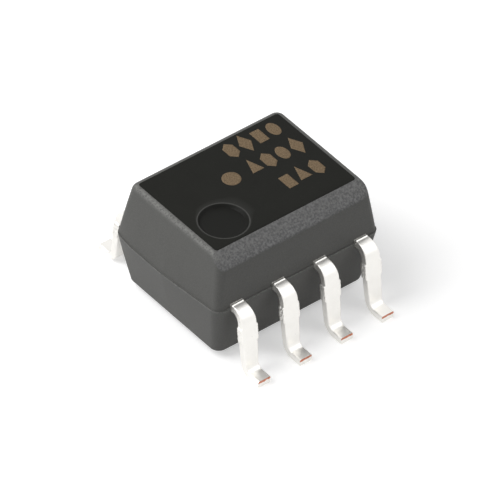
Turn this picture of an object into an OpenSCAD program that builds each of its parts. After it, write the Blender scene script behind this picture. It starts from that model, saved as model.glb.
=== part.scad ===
// Two-channel opto-isolator in an eight-lead small-outline package.
// Millimetres, +Z up. The origin is on the board plane, under the middle of the moulding.
// The rows of leads run along X: leads 1 to 4 on the -Y side, leads 5 to 8 on the +Y side,
// with leads 1 and 8 at the -X end.

/* [Moulding] */
// Length at the parting line, along the rows of leads
body_length = 5.04; // [4.95:0.01:5.3]
// Width at the parting line
body_width = 3.92; // [3.85:0.01:4]
// Height of the top face above the board
body_top = 3.22; // [3.1:0.01:3.4]
// Height of the underside above the board
standoff = 0.22; // [0.1:0.01:0.3]
// Height of the parting line above the board
parting_height = 1.79; // [1.7:0.01:1.85]
// Draft of the four sides, in degrees
side_draft = 8.5; // [6:0.5:10]
// How far the lower half stands proud of the upper half
ledge = 0.04; // [0.02:0.01:0.06]
// How far the lower half bows out along the parting line at each end
end_bow = 0.08; // [0.05:0.01:0.1]
// Length of the bow along the parting line
end_bow_length = 3.2; // [2.8:0.1:3.3]
// Height of the bowed band under the parting line
end_bow_height = 0.5; // [0.3:0.05:0.6]
// Radius of the upright corners of the upper half
upper_corner = 0.16; // [0.1:0.01:0.25]
// Radius of the upright corners of the lower half
lower_corner = 0.24; // [0.15:0.01:0.3]
// Depth of the bevel over leads 1 to 4, down the side
bevel_depth = 0.35; // [0.3:0.01:0.45]
// Width of that bevel, across the top face
bevel_width = 0.35; // [0.3:0.01:0.45]
// Broken edge round the top face
top_break = 0.06; // [0.03:0.01:0.1]
// Broken edge round the underside
bottom_break = 0.05; // [0.03:0.01:0.1]

/* [Marks in the moulding] */
// Diameter of the dished lead 1 mark at the top face
mark_diameter = 1.24; // [1:0.01:1.3]
// Width of the sloping wall round the mark's flat floor
mark_wall = 0.07; // [0.03:0.01:0.1]
// Depth of the lead 1 mark
mark_depth = 0.08; // [0.04:0.01:0.12]
// From the -X end, at the parting line, to the middle of the mark
mark_from_end = 1.19; // [1.1:0.01:1.3]
// From the -Y side, at the parting line, to the middle of the mark
mark_from_side = 1.31; // [1.25:0.01:1.4]
// Diameter of the two ejector pin marks in the underside
ejector_diameter = 0.9; // [0.7:0.05:1.1]
// Depth of the ejector pin marks
ejector_depth = 0.04; // [0.02:0.01:0.06]
// Distance between the ejector pin marks
ejector_spacing = 2.6; // [2.2:0.1:2.8]

/* [Leads] */
// Distance between neighbouring leads
pitch = 1.27; // [1.2:0.01:1.3]
// Width of a lead
lead_width = 0.375; // [0.33:0.005:0.45]
// Thickness of the lead frame sheet
lead_thickness = 0.205; // [0.15:0.005:0.23]
// Distance across the tips of opposite leads
lead_span = 6.13; // [6:0.01:6.25]
// Height of a lead's top surface over the parting line, where it leaves the moulding
lead_rise = 0.075; // [0.05:0.005:0.1]
// Straight run outside the moulding before the top bend
exit_run = 0.08; // [0.05:0.01:0.1]
// Inside radius of the top bend
top_bend_radius = 0.2; // [0.15:0.01:0.22]
// Inside radius of the bend above the foot
knee_radius = 0.17; // [0.12:0.01:0.2]
// Slope of the leg from the horizontal, in degrees
leg_angle = 82; // [80:0.5:85]
// Length of the sheared dam bar stubs on the sides of the leg
stub_length = 0.45; // [0.3:0.05:0.5]
// How far each dam bar stub stands out
stub_depth = 0.04; // [0.02:0.01:0.06]
// From the top bend down to the dam bar stubs
stub_drop = 0.08; // [0.05:0.01:0.12]

/* [Lead frames inside] */
// Height by which the two frames are bent apart from the exit level
frame_offset = 0.45; // [0.42:0.01:0.5]
// Slope of that offset, in degrees
offset_angle = 45; // [40:1:50]
// Inside radius of the offset bends
offset_bend_radius = 0.1; // [0.08:0.01:0.12]
// Width of the bonding post on a lead's inner end
post_width = 0.55; // [0.5:0.01:0.6]
// Length of that bonding post
post_length = 0.28; // [0.22:0.01:0.32]
// Side of the square pad that carries a light-emitting chip
emitter_pad = 0.8; // [0.75:0.01:0.9]
// Distance between the two ends of the paddle that carries the detector chips
paddle_length = 2.7; // [2.65:0.01:2.8]
// From the middle to the paddle's edge on the side of leads 1 to 4
paddle_near = 0.62; // [0.58:0.01:0.7]
// From the middle to the paddle's edge on the side of leads 5 to 8
paddle_far = 0.43; // [0.4:0.01:0.45]
// Width of the arm that joins the paddle to lead 5
paddle_arm = 0.4; // [0.35:0.01:0.45]
// Width of the supply bar on lead 8
bar_width = 0.14; // [0.1:0.01:0.15]
// Gap on each side of the supply bar, to the paddle and to the bonding posts
bar_gap = 0.12; // [0.1:0.01:0.13]

/* [Chips] */
// Side of a light-emitting chip
emitter_side = 0.3; // [0.25:0.01:0.33]
// Height of a light-emitting chip
emitter_height = 0.15; // [0.1:0.01:0.17]
// Length of a detector chip along the paddle
detector_length = 0.9; // [0.85:0.01:0.95]
// Width of a detector chip across the paddle
detector_width = 0.72; // [0.68:0.01:0.76]
// Height of a detector chip
detector_height = 0.2; // [0.15:0.01:0.22]
// Thickness of the bonding layer under a chip
attach_thickness = 0.02; // [0.01:0.005:0.03]
// How far the bonding layer spreads past a chip
attach_margin = 0.02; // [0.01:0.005:0.03]
// Radius of the clear coupling gel between two facing chips, at its middle
gel_radius = 0.38; // [0.36:0.01:0.39]

/* [Bond wires] */
// Diameter of the gold wire
wire_diameter = 0.03; // [0.025:0.001:0.032]
// Diameter of the bond at each end of a wire
bond_diameter = 0.07; // [0.06:0.005:0.08]
// Height of the bond at each end of a wire
bond_height = 0.035; // [0.034:0.001:0.04]
// Depth of an emitter wire's arch under the line between its bonds
emitter_wire_arch = 0.2; // [0.16:0.01:0.24]
// Height of a detector wire's arch over the line between its bonds
detector_wire_arch = 0.12; // [0.1:0.01:0.13]
// From a detector chip's edge to the middle of a bond on it
bond_inset = 0.06; // [0.05:0.005:0.08]
// From the middle of a detector chip to the bonds near its ends
bond_offset = 0.34; // [0.33:0.01:0.36]

/* [Hidden] */

$fn = 32;
// Thickness of the slices that the two halves of the moulding are lofted between
slice = 0.005;
// How far a cutter runs past the face it cuts, as a share of the cut
over = 0.2;
// How far the foot of a bowed end lies inside the drafted face
bow_sink = 0.01;
leads_per_side = 4;

epoxy = [0.14, 0.15, 0.13];
tin = [0.86, 0.86, 0.84];
gold = [0.95, 0.76, 0.35];
silicon = [0.35, 0.37, 0.42];
emitter_red = [0.62, 0.25, 0.2];
silver_paste = [0.7, 0.7, 0.72];
clear_gel = [0.85, 0.9, 0.95, 0.5];

// Levels of the middle of the lead frame sheet
half_sheet = lead_thickness / 2;
exit_level = parting_height + lead_rise - half_sheet;
emitter_level = exit_level + frame_offset;
detector_level = exit_level - frame_offset;

// Outer part of a lead, measured along the sheet's middle
top_bend = top_bend_radius + half_sheet;
knee_bend = knee_radius + half_sheet;
leg_drop = exit_level - half_sheet - (top_bend + knee_bend) * (1 - cos(leg_angle));
leg_length = leg_drop / sin(leg_angle);
foot_length = (lead_span - body_width) / 2 - exit_run
    - (top_bend + knee_bend) * sin(leg_angle) - leg_length * cos(leg_angle);

// Supply bar beside the paddle, the bonding posts beside the bar, and the outer edge of
// the flat inner frames, where the posts begin
bar_y = paddle_far + bar_gap + bar_width / 2;
frame_edge = bar_y + bar_width / 2 + bar_gap + post_length;
post_y = frame_edge - post_length / 2;

// Offset of a lead, and the straight run that is left for it inside the moulding's wall
offset_bend = offset_bend_radius + half_sheet;
offset_run = (frame_offset - 2 * offset_bend * (1 - cos(offset_angle))) / sin(offset_angle);
anchor_run = body_width / 2 - frame_edge
    - 2 * offset_bend * sin(offset_angle) - offset_run * cos(offset_angle);

// Middles of the two optical channels along X, set by the pads on leads 2 and 3
channel_x = pitch / 2 - lead_width / 2 + emitter_pad / 2;

// Levels of the surfaces that the chips stand on
pad_face = emitter_level - half_sheet;
paddle_face = detector_level + half_sheet;
emitter_face = pad_face - attach_thickness - emitter_height;
detector_face = paddle_face + attach_thickness + detector_height;

function lead_x(n) =
    n <= leads_per_side ? (n - (leads_per_side + 1) / 2) * pitch
                        : ((3 * leads_per_side + 1) / 2 - n) * pitch;
function lead_side(n) = n <= leads_per_side ? -1 : 1;
// Channel 1 lies at the -X end, over leads 1 and 2
function channel_side(channel) = channel == 1 ? -1 : 1;
function inset(height) = height * tan(side_draft);

// ---- moulding ----

// Thin rounded slice of one half, whose underside is at height z
module rounded_slice(length, width, radius, z) {
    translate([0, 0, z])
        linear_extrude(slice)
            offset(r = radius)
                square([length - 2 * radius, width - 2 * radius], center = true);
}

// One half, lofted from its rim at the parting line to its smaller outer face.
// Both halves are drawn upwards from z = 0, with a broken edge round the outer face.
module half_shell(length, width, height, radius, edge_break) {
    shoulder = height - edge_break;
    hull() {
        rounded_slice(length, width, radius, 0);
        rounded_slice(length - 2 * inset(shoulder), width - 2 * inset(shoulder),
            radius, shoulder - slice);
        rounded_slice(length - 2 * inset(shoulder) - 2 * edge_break,
            width - 2 * inset(shoulder) - 2 * edge_break,
            radius - edge_break, height - slice);
    }
}

module upper_half() {
    translate([0, 0, parting_height])
        half_shell(body_length - 2 * ledge, body_width - 2 * ledge,
            body_top - parting_height, upper_corner, top_break);
}

module lower_half() {
    translate([0, 0, parting_height])
        mirror([0, 0, 1])
            half_shell(body_length, body_width,
                parting_height - standoff, lower_corner, bottom_break);
}

// Disc whose rim bows out past one end along the parting line. Under it the disc slopes
// back until it has sunk into the drafted end.
module bow_disc(side, radius) {
    slope = end_bow + inset(end_bow_height) + bow_sink;
    translate([side * (body_length / 2 + end_bow - radius), 0,
            parting_height - end_bow_height])
        cylinder(h = end_bow_height, r1 = radius - slope, r2 = radius);
}

// Shallow arcs of moulding that bow out at both ends, just under the parting line
module bowed_ends() {
    radius = (end_bow_length * end_bow_length / 4 + end_bow * end_bow) / (2 * end_bow);
    intersection() {
        bow_disc(-1, radius);
        bow_disc(1, radius);
        translate([0, 0, parting_height - end_bow_height / 2])
            cube([body_length + 4 * end_bow, body_width - 2 * lower_corner,
                end_bow_height], center = true);
    }
}

// Wedge that cuts the bevel over leads 1 to 4. Its sloping face runs from the bevel's edge
// on the top face to its edge on the drafted side, and past both.
module bevel_cutter() {
    top_edge = body_width / 2 - ledge - inset(body_top - parting_height);
    side_edge = top_edge + inset(bevel_depth);
    run_y = side_edge - top_edge + bevel_width;
    rotate([90, 0, 90])
        linear_extrude(body_length, center = true)
            polygon([
                [-top_edge + bevel_width + over * run_y, body_top + over * bevel_depth],
                [-side_edge - over * run_y, body_top - bevel_depth - over * bevel_depth],
                [-side_edge - over * run_y, body_top + over * bevel_depth]
            ]);
}

// Dished mark beside lead 1, with a flat floor and a sloping wall
module lead_1_mark() {
    floor_diameter = mark_diameter - 2 * mark_wall;
    translate([mark_from_end - body_length / 2, mark_from_side - body_width / 2,
            body_top - mark_depth])
        cylinder(h = 2 * mark_depth, d1 = floor_diameter, d2 = floor_diameter + 4 * mark_wall);
}

module ejector_marks() {
    for (side = [-1, 1])
        translate([side * ejector_spacing / 2, 0, standoff - ejector_depth])
            cylinder(h = 2 * ejector_depth, d = ejector_diameter);
}

// The moulding fills everything round the lead frames, chips, gel and wires
module moulded_body() {
    color(epoxy)
        difference() {
            union() {
                upper_half();
                lower_half();
                bowed_ends();
            }
            bevel_cutter();
            lead_1_mark();
            ejector_marks();
            for (n = [1 : 2 * leads_per_side])
                lead(n);
            for (channel = [1, 2]) {
                emitter_chip(channel);
                emitter_attach(channel);
                detector_chip(channel);
                detector_attach(channel);
                coupling_gel(channel);
                emitter_wire(channel);
                ground_wire(channel);
                supply_wire(channel);
                output_wire(channel);
            }
        }
}

// ---- leads ----

// Straight stretch of sheet along +X from the origin. What follows it is drawn at its end.
module run(length, width = lead_width) {
    translate([0, -width / 2, -half_sheet])
        cube([length, width, lead_thickness]);
    translate([length, 0, 0])
        children();
}

// Bent stretch of sheet, turning up where the angle is positive and down where it is negative
module bend(angle, inner_radius) {
    way = sign(angle);
    turn = abs(angle);
    pivot = way * (inner_radius + half_sheet);
    translate([0, 0, pivot]) {
        rotate([90, 0, 0])
            rotate(way > 0 ? -90 : 90 - turn)
                rotate_extrude(angle = turn)
                    translate([inner_radius, -lead_width / 2])
                        square([lead_thickness, lead_width]);
        rotate([0, -angle, 0])
            translate([0, 0, -pivot])
                children();
    }
}

// Gull wing outside the moulding, with the dam bar stubs left on the leg
module gull_wing() {
    run(exit_run)
        bend(-leg_angle, top_bend_radius)
            run(stub_drop)
                run(stub_length, lead_width + 2 * stub_depth)
                    run(leg_length - stub_drop - stub_length)
                        bend(leg_angle, knee_radius)
                            run(foot_length);
}

// Offset inside the moulding, up on the emitter side and down on the detector side.
// What follows it is drawn at its inner end.
module inner_offset(way) {
    run(anchor_run)
        bend(way * offset_angle, offset_bend_radius)
            run(offset_run)
                bend(-way * offset_angle, offset_bend_radius)
                    children();
}

// Place on the plan, seen from the inner end of a lead's offset: inwards, then across
function from_offset(n, place) =
    [frame_edge - lead_side(n) * place.y, lead_side(n) * (place.x - lead_x(n))];

// Flat piece of sheet between two corners on the plan, in the sheet of lead n
module plate(n, corner_a, corner_b) {
    a = from_offset(n, corner_a);
    b = from_offset(n, corner_b);
    translate([min(a.x, b.x), min(a.y, b.y), -half_sheet])
        cube([abs(a.x - b.x), abs(a.y - b.y), lead_thickness]);
}

// Bonding post on the inner end of a lead
module post() {
    run(post_length, post_width);
}

// Neck and square pad of leads 2 and 3. The pad's inner edge lines up with the lead's.
module emitter_carrier(n) {
    centre = sign(lead_x(n)) * channel_x;
    run(frame_edge);
    plate(n, [centre - emitter_pad / 2, -emitter_pad / 2],
        [centre + emitter_pad / 2, emitter_pad / 2]);
}

// Arm and paddle of lead 5, which carries both detector chips
module detector_carrier(n) {
    run(frame_edge + paddle_arm / 2, paddle_arm);
    plate(n, [0, -paddle_arm / 2], [lead_x(n), paddle_arm / 2]);
    plate(n, [-paddle_length / 2, -paddle_near], [paddle_length / 2, paddle_far]);
}

// Post of lead 8, with the supply bar that runs past both detector chips
module supply_carrier(n) {
    bar_edge = bar_y - bar_width / 2;
    run(frame_edge - bar_edge, post_width);
    plate(n, [lead_x(n), bar_edge],
        [channel_x + bond_offset + bond_diameter, bar_edge + bar_width]);
}

module lead(n) {
    side = lead_side(n);
    translate([lead_x(n), side * body_width / 2, exit_level])
        rotate(side * 90) {
            gull_wing();
            rotate(180)
                inner_offset(-side) {
                    if (n == 2 || n == 3)
                        emitter_carrier(n);
                    else if (n == 5)
                        detector_carrier(n);
                    else if (n == 8)
                        supply_carrier(n);
                    else
                        post();
                }
        }
}

// ---- chips, bonding layers and gel ----

// Rectangular block centred on a channel, between two heights
module channel_block(channel, length, width, low, high) {
    translate([channel_side(channel) * channel_x - length / 2, -width / 2, low])
        cube([length, width, high - low]);
}

// Emitter chips hang face down under their pads
module emitter_chip(channel) {
    color(emitter_red)
        channel_block(channel, emitter_side, emitter_side,
            emitter_face, pad_face - attach_thickness);
}

module emitter_attach(channel) {
    spread = emitter_side + 2 * attach_margin;
    color(silver_paste)
        channel_block(channel, spread, spread, pad_face - attach_thickness, pad_face);
}

module detector_chip(channel) {
    color(silicon)
        channel_block(channel, detector_length, detector_width,
            paddle_face + attach_thickness, detector_face);
}

module detector_attach(channel) {
    color(silver_paste)
        channel_block(channel, detector_length + 2 * attach_margin,
            detector_width + 2 * attach_margin, paddle_face, paddle_face + attach_thickness);
}

// Barrel of clear gel that fills the light path between the facing chips
module coupling_gel(channel) {
    gap = pad_face - detector_face;
    color(clear_gel)
        difference() {
            intersection() {
                translate([channel_side(channel) * channel_x, 0, detector_face + gap / 2])
                    sphere(r = gel_radius);
                channel_block(channel, 2 * gel_radius, 2 * gel_radius,
                    detector_face, pad_face);
            }
            emitter_chip(channel);
            emitter_attach(channel);
            emitter_wire(channel);
        }
}

// ---- bond wires ----

// Round bond on a surface, standing up from it or hanging down
module bond(point, way) {
    translate(point)
        mirror([0, 0, way > 0 ? 0 : 1])
            cylinder(h = bond_height, d = bond_diameter);
}

// Wire that arches between two bonds, over them where way is 1 and under them where it is -1
module bond_wire(start, end, arch, way) {
    step = end - start;
    chord = norm(step);
    azimuth = atan2(step.y, step.x);
    climb = asin(step.z / chord);
    radius = (chord * chord / 4 + arch * arch) / (2 * arch);
    half_turn = asin(chord / 2 / radius);
    bond(start, way);
    bond(end, way);
    translate(start + [0, 0, way * bond_height / 2])
        rotate([0, -climb, azimuth])
            mirror([0, 0, way > 0 ? 0 : 1])
                translate([chord / 2, 0, arch - radius])
                    rotate([90, 0, 0])
                        rotate(90 - half_turn)
                            rotate_extrude(angle = 2 * half_turn)
                                translate([radius, 0])
                                    circle(d = wire_diameter);
}

// From the middle of an emitter chip's lower face to the post of lead 1 or 4
module emitter_wire(channel) {
    side = channel_side(channel);
    color(gold)
        bond_wire([side * channel_x, 0, emitter_face],
            [side * pitch * 3 / 2, -post_y, pad_face], emitter_wire_arch, -1);
}

// Place of a bond on a detector chip, from the chip's middle
function detector_bond(channel, x, side) =
    [channel_side(channel) * channel_x + x,
     side * (detector_width / 2 - bond_inset), detector_face];

// From a detector chip down to the paddle
module ground_wire(channel) {
    x = -channel_side(channel) * bond_offset;
    edge = detector_width / 2 + attach_margin;
    color(gold)
        bond_wire(detector_bond(channel, x, -1),
            [channel_side(channel) * channel_x + x, -(edge + paddle_near) / 2, paddle_face],
            detector_wire_arch, 1);
}

// From a detector chip down to the supply bar
module supply_wire(channel) {
    x = channel_side(channel) * bond_offset;
    color(gold)
        bond_wire(detector_bond(channel, x, 1),
            [channel_side(channel) * channel_x + x, bar_y, paddle_face],
            detector_wire_arch, 1);
}

// From a detector chip over the supply bar to the post of lead 7 or 6
module output_wire(channel) {
    x = -channel_side(channel) * bond_offset;
    color(gold)
        bond_wire(detector_bond(channel, x, 1),
            [channel_side(channel) * pitch / 2, post_y, paddle_face],
            detector_wire_arch, 1);
}

// ---- the pieces ----

module metal_lead(n) {
    color(tin)
        lead(n);
}

moulded_body();
metal_lead(1);  // lead_1
metal_lead(2);  // lead_2
metal_lead(3);  // lead_3
metal_lead(4);  // lead_4
metal_lead(5);  // lead_5
metal_lead(6);  // lead_6
metal_lead(7);  // lead_7
metal_lead(8);  // lead_8
emitter_chip(1);  // emitter_chip_1
emitter_chip(2);  // emitter_chip_2
emitter_attach(1);  // emitter_attach_1
emitter_attach(2);  // emitter_attach_2
detector_chip(1);  // detector_chip_1
detector_chip(2);  // detector_chip_2
detector_attach(1);  // detector_attach_1
detector_attach(2);  // detector_attach_2
coupling_gel(1);  // coupling_gel_1
coupling_gel(2);  // coupling_gel_2
emitter_wire(1);  // emitter_wire_1
emitter_wire(2);  // emitter_wire_2
ground_wire(1);  // ground_wire_1
ground_wire(2);  // ground_wire_2
supply_wire(1);  // supply_wire_1
supply_wire(2);  // supply_wire_2
output_wire(1);  // output_wire_1
output_wire(2);  // output_wire_2
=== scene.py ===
# Looks of a two-channel opto-isolator in an eight-lead small-outline package.
# Lengths are in millimetres until a mesh, a lamp or the camera is made, and then in metres.
# The rows of leads run along X: leads 1 to 4 on the -Y side, leads 5 to 8 on the +Y side.
import itertools
import math

import bmesh
import bpy
import numpy as np
from mathutils import Matrix, Vector


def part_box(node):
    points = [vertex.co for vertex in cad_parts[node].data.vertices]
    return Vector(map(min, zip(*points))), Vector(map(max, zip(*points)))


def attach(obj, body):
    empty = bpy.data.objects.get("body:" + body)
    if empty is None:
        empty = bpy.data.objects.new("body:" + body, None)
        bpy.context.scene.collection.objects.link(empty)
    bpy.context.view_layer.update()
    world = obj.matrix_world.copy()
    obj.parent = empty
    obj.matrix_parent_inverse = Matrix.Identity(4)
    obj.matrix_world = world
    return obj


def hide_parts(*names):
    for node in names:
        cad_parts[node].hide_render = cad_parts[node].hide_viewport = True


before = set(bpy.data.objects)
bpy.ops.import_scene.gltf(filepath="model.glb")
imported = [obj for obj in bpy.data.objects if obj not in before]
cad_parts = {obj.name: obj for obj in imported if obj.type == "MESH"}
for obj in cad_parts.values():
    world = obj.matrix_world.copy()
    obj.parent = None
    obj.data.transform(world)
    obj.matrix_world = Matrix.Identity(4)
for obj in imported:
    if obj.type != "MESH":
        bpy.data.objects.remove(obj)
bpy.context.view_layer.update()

MM = 0.001
BODY = "root"
# Points closer than WELD are one point, and heights closer than NO_LENGTH one height
WELD = 1e-5
NO_LENGTH = 1e-9


def box(node):
    """Lowest and highest corner of a CAD node, in millimetres."""
    low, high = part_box(node)
    return np.array(low) / MM, np.array(high) / MM


# ---- sizes of the moulding ----
BODY_LOW, BODY_HIGH = box("moulded_body")
# How far the +X end bows out and how wide that bow is to each side, how far the -X end
# stands out at its gate witness, and where its shoulder begins and ends
END_BOW = 0.08
END_BOW_REACH = 1.6
GATE_BOW = 0.165
SHOULDER_FROM = 0.9
RIM_X = BODY_HIGH[0] - END_BOW
RIM_Y = BODY_HIGH[1]
SHOULDER_TO = RIM_Y - 0.1
UNDERSIDE = BODY_LOW[2]
TOP = BODY_HIGH[2]
LEDGE = 0.04
DRAFT = math.tan(math.radians(8.5))
UPPER_DRAFT = math.tan(math.radians(7.6))
UPPER_CORNER = 0.17
LOWER_CORNER = 0.25
BEVEL_DEPTH = 0.35
BEVEL_WIDTH = 0.35

# ---- sizes of the leads ----
LEAD_HIGH = box("lead_5")[1]
LEADS_PER_SIDE = 4
PITCH = 1.27
LEAD_WIDTH = 0.375
SHEET = 0.205
LEAD_RISE = 0.075
PARTING = LEAD_HIGH[2] - LEAD_RISE
EXIT_LEVEL = LEAD_HIGH[2] - SHEET / 2
EXIT_RUN = 0.08
TOP_BEND = 0.2 + SHEET / 2
KNEE_BEND = 0.17 + SHEET / 2
LEG_ANGLE = math.radians(82)
TIP = LEAD_HIGH[1] - RIM_Y
BARE_FROM = 0.15
TEAR_HEIGHT = 0.06
TEAR_SIZE = 0.06
TEAR_BLUR = 0.012

# ---- the dished mark beside lead 1, and the ejector pin marks ----
MARK_CENTRE = np.array([1.19 - RIM_X, 1.31 - RIM_Y])
MARK_RADIUS = 0.62
MARK_WALL = 0.07
MARK_DEPTH = 0.08
EJECTOR_X = 1.3
EJECTOR_RADIUS = 0.45
EJECTOR_DEPTH = 0.04
EJECTOR_WALL = 0.012


# ---- numpy helpers ----

def smooth(share):
    """Eased share: clipped to 0 and 1, with a level start and end."""
    share = np.clip(share, 0.0, 1.0)
    return share * share * (3.0 - 2.0 * share)


def positive(value, width):
    """Smooth positive part: a hyperbola that runs from zero into the value itself."""
    return 0.5 * (value + np.sqrt(value * value + width * width))


def near(way, place, width):
    """1 at a place and less on both sides of it: e to the power of minus the square of
    the distance from the place, counted in widths."""
    return np.exp(-((way - place) / width) ** 2)


def lumps(points, cell, seed):
    """Smooth random field from -1 to 1: a lattice of random values, blended between the
    eight corners of each point's cell by eased shares."""
    lattice_size = 64
    lattice = np.random.default_rng(seed).uniform(-1.0, 1.0, (lattice_size,) * 3)
    place = points / cell
    low = np.floor(place).astype(int)
    share = smooth(place - low)
    total = np.zeros(points.shape[:-1])
    for corner in itertools.product((0, 1), repeat=3):
        index = (low + corner) % lattice_size
        weight = np.prod(np.where(corner, share, 1.0 - share), axis=-1)
        total += weight * lattice[index[..., 0], index[..., 1], index[..., 2]]
    return total


def grid_normals(points):
    """Unit normals of a grid whose columns close: the cross product of the steps along
    its rows and along its columns."""
    down = np.gradient(points, axis=0)
    across = np.roll(points, -1, axis=1) - np.roll(points, 1, axis=1)
    normal = np.cross(across, down)
    return normal / np.maximum(np.linalg.norm(normal, axis=-1, keepdims=True), 1e-12)


def rounded_line(corners, radii, spacings, arc_steps):
    """Outline through the corners, each rounded by an arc that touches both its sides. The
    straight stretches are divided at their own spacing. Returns points, one per row."""
    corners = np.array(corners, float)
    touch_in, touch_out, arcs = [corners[0]], [], []
    for before, corner, after, radius in zip(corners, corners[1:], corners[2:], radii):
        to_before = (before - corner) / np.linalg.norm(before - corner)
        to_after = (after - corner) / np.linalg.norm(after - corner)
        half_angle = 0.5 * math.acos(np.clip(to_before @ to_after, -1.0, 1.0))
        reach = radius / math.tan(half_angle)
        bisector = to_before + to_after
        centre = corner + bisector / np.linalg.norm(bisector) * radius / math.sin(half_angle)
        first, last = corner + to_before * reach, corner + to_after * reach
        turn = math.pi - 2.0 * half_angle
        share = np.linspace(0.0, 1.0, arc_steps + 1)[:, None]
        a, b = first - centre, last - centre
        arcs.append(centre + (np.sin((1.0 - share) * turn) * a + np.sin(share * turn) * b)
                    / math.sin(turn))
        touch_out.append(first)
        touch_in.append(last)
    touch_out.append(corners[-1])
    pieces = []
    for index, spacing in enumerate(spacings):
        start, end = touch_in[index], touch_out[index]
        steps = max(1, round(np.linalg.norm(end - start) / spacing))
        share = np.linspace(0.0, 1.0, steps + 1)[:, None]
        pieces.append(start + (end - start) * share)
        if index < len(arcs):
            pieces.append(arcs[index][1:-1])
    return np.concatenate(pieces)


class Ring:
    """Closed rounded rectangle with a fixed number of columns: two long sides, two short
    sides and four corners. A column is a centre at a share of the straight stretches, plus
    a direction times the corner radius."""

    def __init__(self, along_x, along_y, per_corner):
        straight_x = 1.0 - 2.0 * np.arange(along_x) / along_x
        straight_y = 2.0 * np.arange(along_y) / along_y - 1.0
        turn = 0.5 * math.pi * np.arange(per_corner) / per_corner
        corner = np.ones(per_corner)
        flat_x, flat_y = np.ones(along_x), np.ones(along_y)
        self.share_x = np.concatenate(
            [flat_y, corner, straight_x, -corner, -flat_y, -corner, -straight_x, corner])
        self.share_y = np.concatenate(
            [straight_y, corner, flat_x, corner, -straight_y, -corner, -flat_x, -corner])
        quarter = 0.5 * math.pi
        self.angle = np.concatenate(
            [0.0 * flat_y, turn, quarter * flat_x, quarter + turn, 2 * quarter * flat_y,
             2 * quarter + turn, 3 * quarter * flat_x, 3 * quarter + turn])
        self.middle_far = along_y + per_corner + along_x // 2
        self.middle_near = 2 * along_y + 3 * per_corner + along_x + along_x // 2

    def around(self, half_x, half_y, radius):
        """Rows of rounded rectangles. The half sizes and the radius have one value a row."""
        half_x, half_y, radius = (np.asarray(v, float)[:, None] for v in (half_x, half_y, radius))
        x = self.share_x * (half_x - radius) + radius * np.cos(self.angle)
        y = self.share_y * (half_y - radius) + radius * np.sin(self.angle)
        return x, y


# ---- meshes ----

def grid_faces(rows, columns, first):
    """Corner numbers of the four-sided faces of a grid whose columns close, counted from
    the first vertex number."""
    row = np.arange(rows - 1)[:, None]
    column = np.arange(columns)[None, :]
    beside = (column + 1) % columns
    corners = [row * columns + column, row * columns + beside,
               (row + 1) * columns + beside, (row + 1) * columns + column]
    return first + np.stack(corners, axis=-1).reshape(-1, 4)


def sheet_mesh(name, grids, marks=None, face_slots=None):
    """Mesh of several grids, welded where their edges meet. marks holds point values by
    name, one list of arrays like the grids, and face_slots the material of each face."""
    mesh = bpy.data.meshes.new(name)
    faces, first = [], 0
    for grid in grids:
        faces.append(grid_faces(grid.shape[0], grid.shape[1], first))
        first += grid.shape[0] * grid.shape[1]
    faces = np.concatenate(faces)
    points = np.concatenate([grid.reshape(-1, 3) for grid in grids]) * MM
    mesh.vertices.add(len(points))
    mesh.vertices.foreach_set("co", points.astype(np.float32).ravel())
    mesh.loops.add(faces.size)
    mesh.loops.foreach_set("vertex_index", faces.astype(np.int32).ravel())
    mesh.polygons.add(len(faces))
    mesh.polygons.foreach_set("loop_start", np.arange(0, faces.size, 4, dtype=np.int32))
    mesh.update(calc_edges=True)
    for mark, values in (marks or {}).items():
        attribute = mesh.attributes.new(mark, "FLOAT", "POINT")
        flat = np.concatenate([value.ravel() for value in values])
        attribute.data.foreach_set("value", flat.astype(np.float32))
    if face_slots is not None:
        mesh.polygons.foreach_set("material_index", np.asarray(face_slots, np.int32))
    weld(mesh)
    return mesh


def weld(mesh):
    """Merges a mesh's doubled points, turns its faces outwards and shades it smooth."""
    work = bmesh.new()
    work.from_mesh(mesh)
    bmesh.ops.remove_doubles(work, verts=work.verts, dist=WELD * MM)
    bmesh.ops.dissolve_degenerate(work, edges=work.edges, dist=WELD * MM)
    bmesh.ops.recalc_face_normals(work, faces=work.faces)
    work.to_mesh(mesh)
    work.free()
    mesh.shade_smooth()


def piece(name, mesh, materials, slot, *nodes):
    """Object of a finished mesh, which rides on the one body and stands for CAD nodes."""
    made = bpy.data.objects.new(name, mesh)
    bpy.context.scene.collection.objects.link(made)
    for material in materials:
        mesh.materials.append(material)
    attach(made, BODY)
    if nodes:
        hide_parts(*nodes)
    return made


# ---- materials ----

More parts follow.
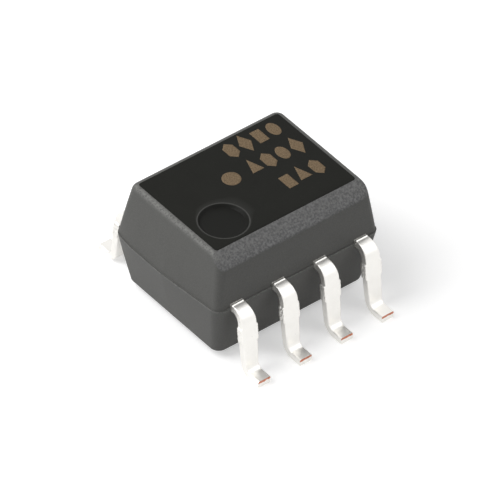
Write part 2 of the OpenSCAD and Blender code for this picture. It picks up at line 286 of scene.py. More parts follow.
class Paint:
    """Small builder for a procedural material: nodes by name, links by position."""

    def __init__(self, name, **constants):
        self.material = bpy.data.materials.new(name)
        self.material.use_nodes = True
        self.tree = self.material.node_tree
        self.shader = self.tree.nodes["Principled BSDF"]
        for socket, value in constants.items():
            self.shader.inputs[socket.replace("_", " ")].default_value = value
        self.place = self.tree.nodes.new("ShaderNodeTexCoord").outputs["Object"]

    def link(self, value, socket):
        """Puts a number, a colour or another node's output into a socket."""
        if isinstance(value, bpy.types.NodeSocket):
            self.tree.links.new(value, socket)
        else:
            socket.default_value = value

    def noise(self, size, detail=2.0, roughness=0.5):
        """Noise whose features are about the given size in millimetres, from 0 to 1."""
        made = self.tree.nodes.new("ShaderNodeTexNoise")
        made.inputs["Scale"].default_value = 1.0 / (size * MM)
        made.inputs["Detail"].default_value = detail
        made.inputs["Roughness"].default_value = roughness
        self.tree.links.new(self.place, made.inputs["Vector"])
        return made.outputs["Fac"]

    def spots(self, size):
        """Distance from scattered points that lie about the given size apart."""
        made = self.tree.nodes.new("ShaderNodeTexVoronoi")
        made.inputs["Scale"].default_value = 1.0 / (size * MM)
        self.tree.links.new(self.place, made.inputs["Vector"])
        return made.outputs["Distance"]

    def mark(self, name):
        """A point value that was stored on the mesh."""
        made = self.tree.nodes.new("ShaderNodeAttribute")
        made.attribute_name = name
        return made.outputs["Fac"]

    def height(self):
        """Height over the board, in metres."""
        made = self.tree.nodes.new("ShaderNodeSeparateXYZ")
        self.tree.links.new(self.place, made.inputs[0])
        return made.outputs["Z"]

    def math(self, operation, first, second):
        """Result of one operation on two numbers."""
        made = self.tree.nodes.new("ShaderNodeMath")
        made.operation = operation
        self.link(first, made.inputs[0])
        self.link(second, made.inputs[1])
        return made.outputs[0]

    def span(self, value, low, high, to_low=0.0, to_high=1.0):
        """Value between low and high, eased to the range from to_low to to_high."""
        made = self.tree.nodes.new("ShaderNodeMapRange")
        made.interpolation_type = "SMOOTHSTEP"
        self.link(value, made.inputs["Value"])
        for socket, number in zip(("From Min", "From Max", "To Min", "To Max"),
                                  (low, high, to_low, to_high)):
            made.inputs[socket].default_value = number
        return made.outputs["Result"]

    def mix(self, share, first, second):
        """Colour between two colours."""
        made = self.tree.nodes.new("ShaderNodeMix")
        made.data_type = "RGBA"
        self.link(share, made.inputs["Factor"])
        self.link(first, made.inputs["A"])
        self.link(second, made.inputs["B"])
        return made.outputs["Result"]

    def blend(self, share, first, second):
        """Number between two numbers."""
        made = self.tree.nodes.new("ShaderNodeMix")
        self.link(share, made.inputs["Factor"])
        self.link(first, made.inputs["A"])
        self.link(second, made.inputs["B"])
        return made.outputs["Result"]

    def bump(self, height, depth, strength=1.0):
        """Relief of a height from 0 to 1, whose full depth is given in millimetres."""
        made = self.tree.nodes.new("ShaderNodeBump")
        made.inputs["Strength"].default_value = strength
        made.inputs["Distance"].default_value = depth * MM
        self.link(height, made.inputs["Height"])
        self.tree.links.new(made.outputs["Normal"], self.shader.inputs["Normal"])

    def colour(self, value):
        """Sets the shader's colour."""
        self.link(value, self.shader.inputs["Base Color"])

    def rough(self, value):
        """Sets the shader's roughness."""
        self.link(value, self.shader.inputs["Roughness"])


SIDE_CAST = (1.0, 1.0, 0.95)
FACE_CAST = (1.0, 1.02, 0.86)


def tone(level, cast=(1.0, 1.0, 1.0)):
    """Linear colour of a grey level with a cast, one factor each for red, green and blue."""
    return (*(level * factor for factor in cast), 1.0)


def epoxy_face():
    """Fine matt face of the filled black epoxy, the smoother floor of its mark, and a painted
    highlight ring at the mark's rim.
    """
    paint = Paint("epoxy_face", Specular_IOR_Level=0.1)
    cloud = paint.noise(0.5, detail=4.0)
    grain = paint.noise(0.03, detail=3.0, roughness=0.6)
    fleck = paint.math("MULTIPLY", paint.span(grain, 0.58, 0.75), 0.3)
    base = paint.mix(cloud, tone(0.0095, FACE_CAST), tone(0.013, FACE_CAST))
    base = paint.mix(fleck, base, tone(0.03, FACE_CAST))
    # Painted highlight: a thin pale ring just outside the dish's rim, where its edge catches the
    # light
    base = paint.mix(paint.mark("rim"), base, tone(0.075, SIDE_CAST))
    base = paint.mix(paint.mark("dish"), base, tone(0.0075, FACE_CAST))
    paint.colour(base)
    paint.rough(paint.blend(paint.mark("dish"), 0.62, 0.42))
    paint.bump(grain, 0.004, 0.6)
    return paint.material


def epoxy_side():
    """Sides of the same epoxy: fine spark-eroded skin in a base painted lighter than the
    top's as painted sheen, painted highlights on the top edges and parting rim, and a coarse
    bevel with painted glints."""
    paint = Paint("epoxy_side", Specular_IOR_Level=0.3)
    cloud = paint.noise(0.4, detail=4.0)
    grain = paint.noise(0.03, detail=3.0, roughness=0.6)
    coarse = paint.noise(0.06, detail=3.0, roughness=0.6)
    bevel = paint.mark("bevel")
    # Painted sheen: the sides' base is several times lighter than the top face's, standing in for
    # the sheen of light on the same black epoxy
    base = paint.mix(cloud, tone(0.078, SIDE_CAST), tone(0.092, SIDE_CAST))
    base = paint.mix(paint.span(grain, 0.35, 0.7), base, tone(0.1, SIDE_CAST))
    # Painted glints: the bevel is painted lighter than the sides, in pale speckles from coarse
    # noise that stand in for light glinting on its rough surface
    painted_glints = paint.mix(paint.span(coarse, 0.36, 0.68), tone(0.1), tone(0.19))
    base = paint.mix(bevel, base, painted_glints)
    # Painted highlight: the edge mark, broken up by coarse noise, lightens the top edges and the
    # parting rim towards pale grey
    ragged = paint.math("MULTIPLY", paint.mark("painted_edge_highlight"), paint.span(coarse, 0.3, 0.6))
    paint.colour(paint.mix(ragged, base, tone(0.19, SIDE_CAST)))
    paint.rough(0.6)
    height = paint.blend(bevel, paint.math("MULTIPLY", grain, 0.35), coarse)
    paint.bump(height, 0.008, 0.7)
    return paint.material


def tin():
    """Satin tin plate with a soft unevenness, a few dark spots, and bare copper at a cut tip."""
    paint = Paint("tin_plate", Metallic=1.0)
    cloud = paint.noise(0.25, detail=3.0)
    grain = paint.noise(0.03, detail=3.0)
    # Dark spots: small near-black patches in the plate, with no recess in the mesh
    dark_spot = paint.span(paint.spots(0.13), 0.06, 0.1, 1.0, 0.0)
    dark_spot = paint.math("MULTIPLY", dark_spot, paint.span(paint.noise(0.3), 0.58, 0.66))
    plate = paint.mix(cloud, (0.82, 0.805, 0.77, 1.0), (0.88, 0.865, 0.835, 1.0))
    plate = paint.mix(paint.math("MULTIPLY", dark_spot, 0.75), plate, (0.22, 0.2, 0.18, 1.0))
    jagged = paint.math("MULTIPLY", paint.noise(TEAR_SIZE, detail=3.0), TEAR_HEIGHT * MM)
    level = paint.math("ADD", paint.height(), jagged)
    bare = paint.span(level, BARE_FROM * MM, (BARE_FROM + TEAR_BLUR) * MM)
    bare = paint.math("MULTIPLY", bare, paint.mark("cut"))
    copper = paint.mix(grain, (0.4, 0.13, 0.07, 1.0), (0.6, 0.26, 0.17, 1.0))
    paint.colour(paint.mix(bare, plate, copper))
    paint.rough(paint.blend(paint.span(grain, 0.3, 0.7), 0.38, 0.5))
    paint.bump(paint.math("ADD", paint.math("MULTIPLY", cloud, 2.0), grain), 0.003, 0.5)
    return paint.material


def laser_mark():
    """Epoxy turned brown by a laser: a mottled patch."""
    paint = Paint("laser_mark", Specular_IOR_Level=0.1)
    mottle = paint.noise(0.035, detail=3.0, roughness=0.7)
    paint.colour(paint.mix(paint.span(mottle, 0.3, 0.7), (0.12, 0.087, 0.055, 1.0),
                           (0.25, 0.18, 0.11, 1.0)))
    paint.rough(0.7)
    paint.bump(mottle, 0.004, 0.7)
    return paint.material


def plain_finish(name, low, high, size, roughness, depth, **constants):
    """Finish of a sealed inner piece: two close colours in a fine noise, and a low bump."""
    paint = Paint(name, **constants)
    grain = paint.noise(size, detail=3.0)
    paint.colour(paint.mix(grain, low, high))
    paint.rough(paint.blend(grain, roughness * 0.85, roughness * 1.15))
    paint.bump(grain, depth)
    return paint.material


def dress_inner_nodes():
    """Gives the sealed chips, bonding layers, gel and wires their finishes."""
    finishes = {
        "emitter_chip": plain_finish("emitter_crystal", (0.3, 0.06, 0.045, 1.0),
                                     (0.4, 0.09, 0.06, 1.0), 0.04, 0.2, 0.001),
        "detector_chip": plain_finish("silicon", (0.07, 0.08, 0.11, 1.0),
                                      (0.1, 0.11, 0.15, 1.0), 0.05, 0.18, 0.001),
        "emitter_attach": plain_finish("silver_paste", (0.45, 0.45, 0.46, 1.0),
                                       (0.6, 0.6, 0.61, 1.0), 0.02, 0.45, 0.002, Metallic=0.6),
        "coupling_gel": plain_finish("clear_gel", (0.9, 0.93, 0.95, 1.0),
                                     (0.96, 0.98, 1.0, 1.0), 0.2, 0.06, 0.001,
                                     Transmission_Weight=1.0, IOR=1.41),
        "wire": plain_finish("gold_wire", (0.75, 0.5, 0.16, 1.0),
                             (0.85, 0.6, 0.22, 1.0), 0.02, 0.25, 0.0005, Metallic=1.0),
    }
    finishes["detector_attach"] = finishes["emitter_attach"]
    for name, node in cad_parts.items():
        for family, finish in finishes.items():
            if family in name:
                node.data.materials.clear()
                node.data.materials.append(finish)


# ---- the moulding ----
BODY_RING = Ring(120, 92, 10)
LOWER_INSET = (PARTING - UNDERSIDE) * DRAFT
UPPER_INSET = LEDGE + (TOP - PARTING) * UPPER_DRAFT
BOTTOM_ROUND = 0.06
TOP_ROUND = 0.16
RIM_ROUND = 0.012
FOOT_ROUND = 0.006
ARC_STEPS = 8
UNDERSIDE_BAND = 0.12
TOP_BAND = 0.18
TOP_BAND_AT_BEVEL = 0.4
BEVEL_SOFTNESS = 0.03
BEVEL_EASE = 6.0 * BEVEL_SOFTNESS
TOP_CORNER = 0.22
SMALLEST_CORNER = 0.06
# Spacing of the points on each straight stretch of the wall's section
WALL_SPACINGS = [0.03, 0.05, 0.01, 0.035, 0.01]
# A dish: width of its brim, rounding of its rim and floor, and its points' spacings
DISH_BRIM = 0.03
DISH_ROUNDS = [0.014, 0.02]
DISH_SPACINGS = [0.01, 0.012, 0.06]
DISH_ARC_STEPS = 5
# Lumps of the skin, and the ways at its lower and upper edge in which they fade out
GRAIN_CELL = 0.05
GRAIN_FADE_LOW = 0.2
GRAIN_FADE_HIGH = 0.1
# Relief of the plain skin, the band of the painted edge highlight, and the bevel
SKIN_RELIEF = 0.0015
EDGE_BAND_RELIEF = 0.006
BEVEL_RELIEF = 0.004
# Painted edge highlight: way from the top face down to its middle, its width, its share at the
# sides, and its share and width at the parting rim
EDGE_HIGHLIGHT_DROP = 0.08
EDGE_HIGHLIGHT_WIDTH = 0.07
EDGE_HIGHLIGHT_AT_SIDES = 0.25
RIM_HIGHLIGHT = 0.6
RIM_HIGHLIGHT_WIDTH = 0.02
# Soft steps of the bevel's and the dish's looks, and the place and width of the painted highlight
# ring at the dish's rim
BEVEL_STEP = 0.06
DISH_STEP = 0.03
LIP_OUT = 0.01
LIP_WIDTH = 0.016
# Rows of points from the skin to a dish, and points along the line between the two undersides
TOP_ROWS = 12
UNDERSIDE_ROWS = 8
LINE_POINTS = 40


def wall_section():
    """Section of the wall from the underside's edge band to the top face's: distance out
    from the rim at the parting line, and height."""
    section = rounded_line(
        [(-LOWER_INSET - UNDERSIDE_BAND, UNDERSIDE), (-LOWER_INSET, UNDERSIDE), (0.0, PARTING),
         (-LEDGE, PARTING), (-UPPER_INSET, TOP), (-UPPER_INSET - TOP_BAND, TOP)],
        [BOTTOM_ROUND, RIM_ROUND, FOOT_ROUND, TOP_ROUND],
        WALL_SPACINGS, ARC_STEPS)
    return section[:, 0], section[:, 1]


def corner_radii(out, height):
    """Radius of the upright corners at each height. On the bands of the flat faces it
    shrinks with the distance in from the wall."""
    share = np.clip((height - PARTING) / (TOP - PARTING), 0.0, 1.0)
    upper = UPPER_CORNER + (TOP_CORNER - UPPER_CORNER) * share * share
    on_ledge = np.clip(-out / LEDGE, 0.0, 1.0)
    radius = np.where(height >= PARTING, LOWER_CORNER + (upper - LOWER_CORNER) * on_ledge,
                      LOWER_CORNER)
    wall = np.where(height > PARTING, -LEDGE - (height - PARTING) * UPPER_DRAFT,
                    -(PARTING - height) * DRAFT)
    return np.maximum(radius - np.maximum(wall - out, 0.0), SMALLEST_CORNER)


def end_bow(y, side):
    """How far an end stands out at the parting line. The +X end has an even arc. The -X
    end grows from leads 1 to 4 up to a shoulder, which is a quarter of an ellipse."""
    if side > 0:
        return END_BOW * np.clip(1.0 - (y / END_BOW_REACH) ** 2, 0.0, 1.0)
    slope = np.clip((y + RIM_Y) / RIM_Y, 0.0, 1.0)
    shoulder = np.clip((y - SHOULDER_FROM) / (SHOULDER_TO - SHOULDER_FROM), 0.0, 1.0)
    return GATE_BOW * slope * np.sqrt(1.0 - shoulder * shoulder)


def body_skin():
    """Skin from the underside's edge to the top face's: a rounded rectangle at each height
    of the section, with both ends bowed out most at the parting line."""
    out, height = wall_section()
    band = np.clip((-UPPER_INSET + TOP_ROUND - out) / (TOP_BAND + TOP_ROUND), 0.0, 1.0)
    extra = np.where(height >= TOP, band, 0.0) * (TOP_BAND_AT_BEVEL - TOP_BAND)
    x, y = BODY_RING.around(RIM_X + out, RIM_Y + out - 0.5 * extra, corner_radii(out, height))
    y = y + 0.5 * extra[:, None]
    z = np.repeat(height[:, None], x.shape[1], axis=1)
    fade = np.where(z > PARTING, (TOP - z) / (TOP - PARTING),
                    (z - UNDERSIDE) / (PARTING - UNDERSIDE))
    bow = np.where(BODY_RING.share_x > 0.0, end_bow(y, 1), end_bow(y, -1))
    x = x + np.sign(BODY_RING.share_x) * bow * fade * np.cos(BODY_RING.angle) ** 2
    return np.stack([x, y, z], axis=-1), out, height


def bevel_depth(points):
    """Distance past the bevel's plane, which runs along the top edge over leads 1 to 4,
    and the plane's normal."""
    top_edge = RIM_Y - UPPER_INSET
    width = BEVEL_DEPTH * DRAFT + BEVEL_WIDTH
    length = math.hypot(width, BEVEL_DEPTH)
    normal = np.array([0.0, -BEVEL_DEPTH / length, width / length])
    on_plane = np.array([0.0, BEVEL_WIDTH - top_edge, TOP])
    return (points - on_plane) @ normal, normal


def cut_bevel(points):
    """Moves what lies past the bevel's plane straight back to it, with a soft edge."""
    depth, normal = bevel_depth(points)
    back = positive(depth, BEVEL_SOFTNESS) * smooth(depth / BEVEL_EASE + 1.0)
    return points - back[..., None] * normal


def dished_face(ring, centre, outline, rows):
    """Flat face between a closed ring and a round dish, and the dish itself: straight
    lines from the ring to the dish's rim, and then circles along the dish's outline."""
    step = ring[:, :2] - centre
    direction = step / np.linalg.norm(step, axis=1, keepdims=True)
    rim = np.concatenate([centre + outline[0, 0] * direction,
                          np.full((len(ring), 1), outline[0, 1])], axis=1)
    share = np.linspace(0.0, 1.0, rows + 1)[:, None, None]
    flat = ring * (1.0 - share) + rim * share
    around = centre + outline[1:, 0][:, None, None] * direction
    level = np.repeat(outline[1:, 1][:, None, None], len(ring), axis=1)
    return np.concatenate([flat, np.concatenate([around, level], axis=2)])


def dish_outline(radius, wall, depth, level, way):
    """Outline of a round dish from outside its rim to its middle: radius and height. The
    way is 1 for a dish that goes up into an underside, and -1 for one that goes down."""
    floor = level + way * depth
    return rounded_line([(radius + DISH_BRIM, level), (radius, level),
                         (radius - wall, floor), (0.0, floor)],
                        DISH_ROUNDS, DISH_SPACINGS, DISH_ARC_STEPS)


def moulding():
    """Whole moulding: skin, top face with the lead 1 mark, and underside with its marks."""
    skin, out, height = body_skin()
    mark = dish_outline(MARK_RADIUS, MARK_WALL, MARK_DEPTH, TOP, -1.0)
    top = dished_face(skin[-1], MARK_CENTRE, mark, TOP_ROWS)
    ejector = dish_outline(EJECTOR_RADIUS, EJECTOR_WALL, EJECTOR_DEPTH, UNDERSIDE, 1.0)
    first, last = BODY_RING.middle_far, BODY_RING.middle_near
    share = np.linspace(0.0, 1.0, LINE_POINTS)[1:-1, None]
    line = skin[0, last] * (1.0 - share) + skin[0, first] * share
    left = np.concatenate([skin[0, first:last + 1], line])
    right = np.concatenate([skin[0, last:], skin[0, :first + 1], line[::-1]])
    under_left = dished_face(left, np.array([-EJECTOR_X, 0.0]), ejector, UNDERSIDE_ROWS)
    under_right = dished_face(right, np.array([EJECTOR_X, 0.0]), ejector, UNDERSIDE_ROWS)
    grids = [skin, top, under_left, under_right]
    depths = [bevel_depth(grid)[0] for grid in grids]
    none = [np.zeros(grid.shape[:2]) for grid in grids]

    step = np.hypot(np.diff(out), np.diff(height))
    way = np.concatenate([[0.0], np.cumsum(step)])[:, None]
    top_edge = way[np.argmax(height > TOP - NO_LENGTH)]
    rim = way[np.argmax(out)]
    # Painted highlight: a pale band just under the top edge, full at the -X end that faces the
    # brighter lamp and weaker elsewhere, and a thin one along the parting rim
    at_end = smooth(-np.cos(BODY_RING.angle))
    edge = near(way, top_edge - EDGE_HIGHLIGHT_DROP, EDGE_HIGHLIGHT_WIDTH)
    edge = edge * (EDGE_HIGHLIGHT_AT_SIDES + (1.0 - EDGE_HIGHLIGHT_AT_SIDES) * at_end)
    painted_edge_highlight = np.clip(edge + RIM_HIGHLIGHT * near(way, rim, RIM_HIGHLIGHT_WIDTH), 0.0, 1.0)

    radius = np.linalg.norm(top[..., :2] - MARK_CENTRE, axis=-1)
    dish = smooth((MARK_RADIUS - radius) / DISH_STEP)
    # Painted highlight ring just outside the dish's rim
    lip_highlight = near(radius, MARK_RADIUS + LIP_OUT, LIP_WIDTH)
    marks = {"bevel": [smooth(depth / BEVEL_STEP + 0.5) for depth in depths],
             "painted_edge_highlight": [painted_edge_highlight] + none[1:],
             "dish": [none[0], dish] + none[2:],
             "rim": [none[0], lip_highlight] + none[2:]}

    on_top = height > TOP - NO_LENGTH
    flat = on_top[1:] & on_top[:-1]
    slots = [np.where(flat[:, None] & (depths[0][1:] < 0.0), 0, 1),
             np.where(depths[1][1:] < 0.0, 0, 1),
             np.ones(under_left[1:].shape[:2]), np.ones(under_right[1:].shape[:2])]

    skin, top = cut_bevel(skin), cut_bevel(top)
    middle_rows = smooth(way / GRAIN_FADE_LOW) * smooth((way[-1] - way) / GRAIN_FADE_HIGH)
    roughness = SKIN_RELIEF + EDGE_BAND_RELIEF * painted_edge_highlight + BEVEL_RELIEF * marks["bevel"][0]
    sunk = np.abs(lumps(skin, GRAIN_CELL, 3)) * roughness * middle_rows
    skin = skin - sunk[..., None] * grid_normals(skin)
    mesh = sheet_mesh("moulding", [skin, top, under_left, under_right], marks=marks,
                      face_slots=np.concatenate([slot.ravel() for slot in slots]))
    return piece("moulding", mesh, [epoxy_face(), epoxy_side()], "moulding", "moulded_body")


# ---- laser marking: a dot and three rows of plain filled shapes ----
DOT_CENTRE = (-0.235, 0.405)
DOT_RADIUS = 0.239
SHAPE_PITCH = 0.435
SHAPE_COLUMNS = 96
SHAPE_THICKNESS = 0.003
SHAPE_SINK = 0.002
SHAPE_RINGS = 8
DISC, SQUARE, TRIANGLE, DIAMOND, HEXAGON = range(5)
SHAPE_ROWS = [((0.4, 1.2), [HEXAGON, DIAMOND, SQUARE, DISC]),
              ((0.47, 0.4), [TRIANGLE, HEXAGON, DISC, DIAMOND]),
              ((0.8, -0.48), [SQUARE, TRIANGLE, HEXAGON])]
# Number of sides, turn in degrees, half width and half height of each shape
SHAPES = {DISC: (0, 0, 0.16, 0.24), SQUARE: (4, 45, 0.2, 0.32), TRIANGLE: (3, 90, 0.2, 0.33),
          DIAMOND: (4, 90, 0.18, 0.34), HEXAGON: (6, 90, 0.18, 0.29)}


def shape_radius(sides, turn):
    """Each column's angle, and there the radius of a regular shape with corners at distance
    1: a constant for a disc, and else the distance to the nearest side's line."""
    angle = 2.0 * math.pi * np.arange(SHAPE_COLUMNS) / SHAPE_COLUMNS
    if not sides:
        return angle, np.ones(SHAPE_COLUMNS)
    sector = 2.0 * math.pi / sides
    off = (angle - math.radians(turn)) % sector - sector / 2.0
    return angle, math.cos(sector / 2.0) / np.cos(off)


def lozenge(name, centre, shape, half_width, half_height):
    """Thin closed plate of one shape that lies on the top face, sunk a little into it:
    rings at even shares of the shape's radius, out along its underside and back along its
    upper side."""
    angle, radius = shape_radius(*shape)
    outwards = np.linspace(0.0, 1.0, SHAPE_RINGS)
    share = np.concatenate([outwards, outwards[::-1]])[:, None]
    x = centre[0] + half_width * share * radius * np.cos(angle)
    y = centre[1] + half_height * share * radius * np.sin(angle)
    levels = [TOP - SHAPE_SINK, TOP + SHAPE_THICKNESS - SHAPE_SINK]
    z = np.zeros_like(x) + np.repeat(levels, SHAPE_RINGS)[:, None]
    return sheet_mesh(name, [np.stack([x, y, z], axis=-1)])


def laser_marks():
    """The dot, and the rows of shapes at their even pitch."""
    finish = laser_mark()
    piece("laser_dot", lozenge("laser_dot", DOT_CENTRE, (0, 0), DOT_RADIUS, DOT_RADIUS),
          [finish], "moulding")
    for row, ((first_x, y), shapes) in enumerate(SHAPE_ROWS, 1):
        for column, shape in enumerate(shapes, 1):
            sides, turn, half_width, half_height = SHAPES[shape]
            name = f"laser_shape_{row}_{column}"
            centre = (first_x + (column - 1) * SHAPE_PITCH, y)
            mesh = lozenge(name, centre, (sides, turn), half_width, half_height)
            piece(name, mesh, [finish], "moulding")


# ---- leads ----
LEAD_RING = Ring(14, 8, 4)
SPACING = 0.014
EDGE_ROUND = 0.035
STUB_TOP = 0.08
STUB_LENGTH = 0.45
STUB_DEPTH = 0.04
STUB_EASE = 0.03
LEG_FLARE = 0.03
FLARE_END = 0.9
RIDGE = 0.02
RIDGE_OUT = 0.015
RIDGE_WIDTH = 0.02
# Ragged flanks: lumps, depth at the stubs and elsewhere, and where a flank starts
RAGGED_CELLS = (0.05, 0.022)
STUB_RAGGED = 0.03
LEG_RAGGED = 0.003
FLANK_FROM = 0.06
FLANK_EASE = 0.05
# Uneven flats: lumps, depth, and the share of the half thickness past which a flat starts
UNEVEN_CELL = 0.22
UNEVEN = 0.004
FLATS_FROM = 0.9
# Torn tip: lumps and depths
TORN_CELLS = (0.035, 0.08)
TORN_DEPTHS = (0.016, 0.012)
# Step in the random field from one lead to the next
LEAD_STEP = 3.0
SHARP_FROM = math.radians(40)
INNER_END = 0.1
CAP_SHRINK = np.array([0.94, 0.85, 0.72, 0.58, 0.44, 0.3, 0.16, 0.0])


def wing_line():
    """Middle of the sheet from inside the wall to the tip: straight exit, bend down, leg,
    bend back and foot. Returns distance out, height, slope, way along it and the way to
    each stretch's start."""
    drop = EXIT_LEVEL - SHEET / 2 - (TOP_BEND + KNEE_BEND) * (1.0 - math.cos(LEG_ANGLE))
    leg = drop / math.sin(LEG_ANGLE)
    foot = (TIP - EXIT_RUN - (TOP_BEND + KNEE_BEND) * math.sin(LEG_ANGLE)
            - leg * math.cos(LEG_ANGLE))
    stretches = [(INNER_END + EXIT_RUN, 0.0), (TOP_BEND * LEG_ANGLE, -1.0 / TOP_BEND),
                 (leg, 0.0), (KNEE_BEND * LEG_ANGLE, 1.0 / KNEE_BEND), (foot, 0.0)]
    starts = np.cumsum([0.0] + [length for length, _ in stretches])
    way = np.linspace(0.0, starts[-1], round(starts[-1] / SPACING) + 1)
    slope = np.zeros_like(way)
    for start, (length, curve) in zip(starts, stretches):
        slope += curve * np.clip(way - start, 0.0, length)
    middle = 0.5 * (slope[1:] + slope[:-1])
    step = np.diff(way)
    out = np.concatenate([[0.0], np.cumsum(np.cos(middle) * step)]) - INNER_END
    height = EXIT_LEVEL + np.concatenate([[0.0], np.cumsum(np.sin(middle) * step)])
    height = height + (SHEET / 2 - height[-1]) * way / way[-1]
    out = out + (TIP - out[-1]) * way / way[-1]
    return out, height, slope, way, starts


def lead_x(number):
    """Middle of a lead along its row. Leads 5 to 8 are counted back along the other side."""
    if number <= LEADS_PER_SIDE:
        return (number - (LEADS_PER_SIDE + 1) / 2) * PITCH
    return ((3 * LEADS_PER_SIDE + 1) / 2 - number) * PITCH


def lead_strip(number):
    """Formed strip of one lead: a rounded rectangular section carried along the wing line,
    wider down the leg, widened and roughened at the sheared stubs, with a low ridge of
    flash at the wall and a torn cut face at the tip."""
    out, height, slope, way, starts = wing_line()
    stub_start = starts[2] + STUB_TOP
    stub = smooth((way - stub_start) / STUB_EASE + 0.5)
    stub = stub * smooth((stub_start + STUB_LENGTH - way) / STUB_EASE + 0.5)
    flare = smooth((way - starts[1]) / (starts[2] - starts[1]))
    flare = flare * smooth((starts[4] - way) / FLARE_END)
    half = LEAD_WIDTH / 2 + STUB_DEPTH * stub + LEG_FLARE * flare
    across, thick = LEAD_RING.around(half, np.full_like(way, SHEET / 2),
                                     np.full_like(way, EDGE_ROUND))
    shrink = CAP_SHRINK[:, None]
    across = np.concatenate([across[0] * shrink[::-1], across, across[-1] * shrink])
    thick = np.concatenate([thick[0] * shrink[::-1], thick, thick[-1] * shrink])
    out, height, slope, way, stub, half = (
        np.pad(v, len(CAP_SHRINK), mode="edge")[:, None]
        for v in (out, height, slope, way, stub, half))
    cut = np.zeros_like(thick)
    cut[-len(CAP_SHRINK):] = 1.0

    seeded = np.stack(np.broadcast_arrays(across + LEAD_STEP * number, thick, way), axis=-1)
    ragged = lumps(seeded, RAGGED_CELLS[0], 11) + lumps(seeded, RAGGED_CELLS[1], 12)
    ragged = 0.5 * np.abs(ragged)
    flank = smooth((np.abs(across) - half + FLANK_FROM) / FLANK_EASE)
    across = across - np.sign(across) * ragged * (STUB_RAGGED * stub + LEG_RAGGED) * flank
    soft = np.abs(lumps(seeded, UNEVEN_CELL, 13)) * UNEVEN
    flats = np.abs(thick) > FLATS_FROM * SHEET / 2
    ridge = RIDGE * near(way, INNER_END + RIDGE_OUT, RIDGE_WIDTH) * (thick > 0.0)
    thick = thick + (ridge - np.sign(thick) * soft) * flats
    torn = np.abs(lumps(seeded, TORN_CELLS[0], 14)) * TORN_DEPTHS[0]
    torn = torn + np.abs(lumps(seeded, TORN_CELLS[1], 15)) * TORN_DEPTHS[1]
    reach = out - thick * np.sin(slope) - torn * cut
    level = np.maximum(height + thick * np.cos(slope), 0.0)
    side = 1.0 if number > LEADS_PER_SIDE else -1.0
    points = np.stack([lead_x(number) + across, side * (RIM_Y + reach), level], axis=-1)
    return points, cut


def inner_frame(number):
    """Inner part of a lead: the CAD lead's own shape, cut off inside the moulding's wall."""
    side = 1.0 if number > LEADS_PER_SIDE else -1.0
    work = bmesh.new()
    work.from_mesh(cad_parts[f"lead_{number}"].data)
    bmesh.ops.remove_doubles(work, verts=work.verts, dist=WELD * MM)
    everything = work.verts[:] + work.edges[:] + work.faces[:]
    bmesh.ops.bisect_plane(work, geom=everything, clear_outer=True,
                           plane_co=(0.0, side * (RIM_Y - INNER_END / 2) * MM, 0.0),
                           plane_no=(0.0, side, 0.0))
    bmesh.ops.holes_fill(work, edges=[e for e in work.edges if e.is_boundary])
    mesh = bpy.data.meshes.new("inner_frame")
    work.to_mesh(mesh)
    work.free()
    return mesh


def lead(number, finish):
    """One whole lead: its formed strip outside, and its own inner frame."""
    points, cut = lead_strip(number)
    name = f"tinned_lead_{number}"
    mesh = sheet_mesh(name, [points], marks={"cut": [cut]})
    inner = inner_frame(number)
    strip = bmesh.new()
    strip.from_mesh(mesh)
    strip.from_mesh(inner)
    strip.to_mesh(mesh)
    strip.free()
    bpy.data.meshes.remove(inner)
    mesh.shade_smooth()
    mesh.set_sharp_from_angle(angle=SHARP_FROM)
    return piece(name, mesh, [finish], "tinned_lead", f"lead_{number}")


# ---- floor, lights and camera ----
CAMERA_AZIMUTH = math.radians(-40.64)
CAMERA_ELEVATION = math.radians(41.99)
CAMERA_ROLL = math.radians(2.45)
CAMERA_DISTANCE = 204.5
CAMERA_TARGET = Vector((0.0, 0.0, 1.5))
AIM_RIGHT = 0.06
AIM_UP = -0.302
LENS = 614.2
FARTHEST = 10000.0
FLOOR_HALF = 150.0
FLOOR_WHITE = (0.84, 0.84, 0.84, 1.0)
LAMP_DISTANCE = 120.0
LAMP_SIZE = 90.0


def view_axes(azimuth, elevation, roll):
    """Right, up and back axes of a camera at an azimuth and elevation, turned by a roll."""
    back = Vector((math.sin(azimuth) * math.cos(elevation),
                   -math.cos(azimuth) * math.cos(elevation), math.sin(elevation)))
    right = Vector((math.cos(azimuth), math.sin(azimuth), 0.0))
    up = back.cross(right)
    turned_right = right * math.cos(roll) + up * math.sin(roll)
    turned_up = up * math.cos(roll) - right * math.sin(roll)
    return turned_right, turned_up, back


def place_camera():
    """Camera that looks along its back axis at the aim, beside and under the target."""
    right, up, back = view_axes(CAMERA_AZIMUTH, CAMERA_ELEVATION, CAMERA_ROLL)
    aim = CAMERA_TARGET + right * AIM_RIGHT + up * AIM_UP
    camera = bpy.data.objects.new("camera", bpy.data.cameras.new("camera"))
    bpy.context.scene.collection.objects.link(camera)
    camera.data.lens = LENS
    camera.data.clip_start = MM
    camera.data.clip_end = FARTHEST * MM
    turn = Matrix((right, up, back)).transposed().to_4x4()
    camera.matrix_world = Matrix.Translation((aim + back * CAMERA_DISTANCE) * MM) @ turn
    bpy.context.scene.camera = camera


def lamp(name, azimuth, elevation, level):
    """Square soft lamp that faces the object. level is the brightness that it alone gives
    to a white surface turned to it."""
    _, _, back = view_axes(math.radians(azimuth), math.radians(elevation), 0.0)
    data = bpy.data.lights.new(name, "AREA")
    data.size = LAMP_SIZE * MM
    data.energy = level * math.pi ** 2 * (LAMP_DISTANCE * MM) ** 2
    made = bpy.data.objects.new(name, data)
    bpy.context.scene.collection.objects.link(made)
    made.matrix_world = (Matrix.Translation((CAMERA_TARGET + back * LAMP_DISTANCE) * MM)
                         @ back.to_track_quat("Z", "Y").to_matrix().to_4x4())


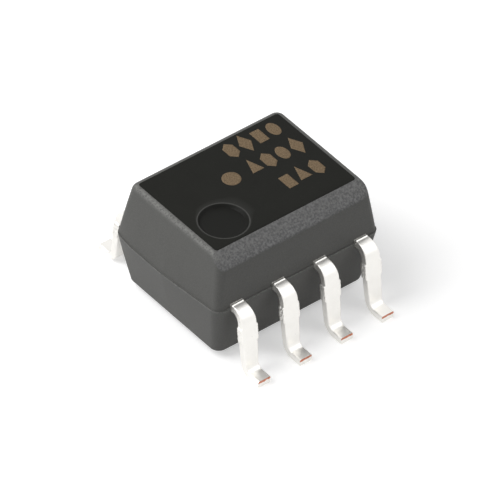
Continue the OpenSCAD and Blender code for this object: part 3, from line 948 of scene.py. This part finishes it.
def light_path(tree):
    """1 for camera, glossy and transmission rays, which see the white ground as it is."""
    path = tree.nodes.new("ShaderNodeLightPath")
    seen = path.outputs["Is Camera Ray"]
    for ray in ("Is Glossy Ray", "Is Transmission Ray"):
        either = tree.nodes.new("ShaderNodeMath")
        either.operation = "MAXIMUM"
        tree.links.new(seen, either.inputs[0])
        tree.links.new(path.outputs[ray], either.inputs[1])
        seen = either.outputs[0]
    return seen


def white_surround(ambient):
    """World that is white to the eye and in reflections, and lights softly."""
    world = bpy.data.worlds.new("surround")
    bpy.context.scene.world = world
    world.use_nodes = True
    tree = world.node_tree
    ground = tree.nodes["Background"]
    ground.inputs["Color"].default_value = (1.0, 1.0, 1.0, 1.0)
    strength = tree.nodes.new("ShaderNodeMapRange")
    tree.links.new(light_path(tree), strength.inputs["Value"])
    strength.inputs["To Min"].default_value = ambient
    strength.inputs["To Max"].default_value = 1.0
    tree.links.new(strength.outputs["Result"], ground.inputs["Strength"])


def white_floor(glow):
    """White floor that keeps the object's shadow: a matt white, lifted by a share of plain
    white for the eye and for reflections."""
    half = FLOOR_HALF * MM
    mesh = bpy.data.meshes.new("floor")
    mesh.from_pydata([(-half, -half, 0.0), (half, -half, 0.0), (half, half, 0.0),
                      (-half, half, 0.0)], [], [(0, 1, 2, 3)])
    floor = bpy.data.objects.new("floor", mesh)
    bpy.context.scene.collection.objects.link(floor)
    material = bpy.data.materials.new("floor_white")
    material.use_nodes = True
    tree = material.node_tree
    shader = tree.nodes["Principled BSDF"]
    shader.inputs["Base Color"].default_value = FLOOR_WHITE
    shader.inputs["Roughness"].default_value = 1.0
    shader.inputs["Specular IOR Level"].default_value = 0.0
    shader.inputs["Emission Color"].default_value = (1.0, 1.0, 1.0, 1.0)
    strength = tree.nodes.new("ShaderNodeMath")
    strength.operation = "MULTIPLY"
    tree.links.new(light_path(tree), strength.inputs[0])
    strength.inputs[1].default_value = glow
    tree.links.new(strength.outputs[0], shader.inputs["Emission Strength"])
    mesh.materials.append(material)


def stage():
    """Surround, floor and two lamps, the brighter one on the side of lead 1."""
    white_surround(ambient=0.25)
    white_floor(glow=0.42)
    lamp("left_lamp", azimuth=-122, elevation=48, level=0.85)
    lamp("right_lamp", azimuth=40, elevation=50, level=0.2)
    bpy.context.scene.view_settings.view_transform = "Standard"


place_camera()
moulding()
laser_marks()
tin_finish = tin()
for lead_number in range(1, 2 * LEADS_PER_SIDE + 1):
    lead(lead_number, tin_finish)
dress_inner_nodes()
stage()
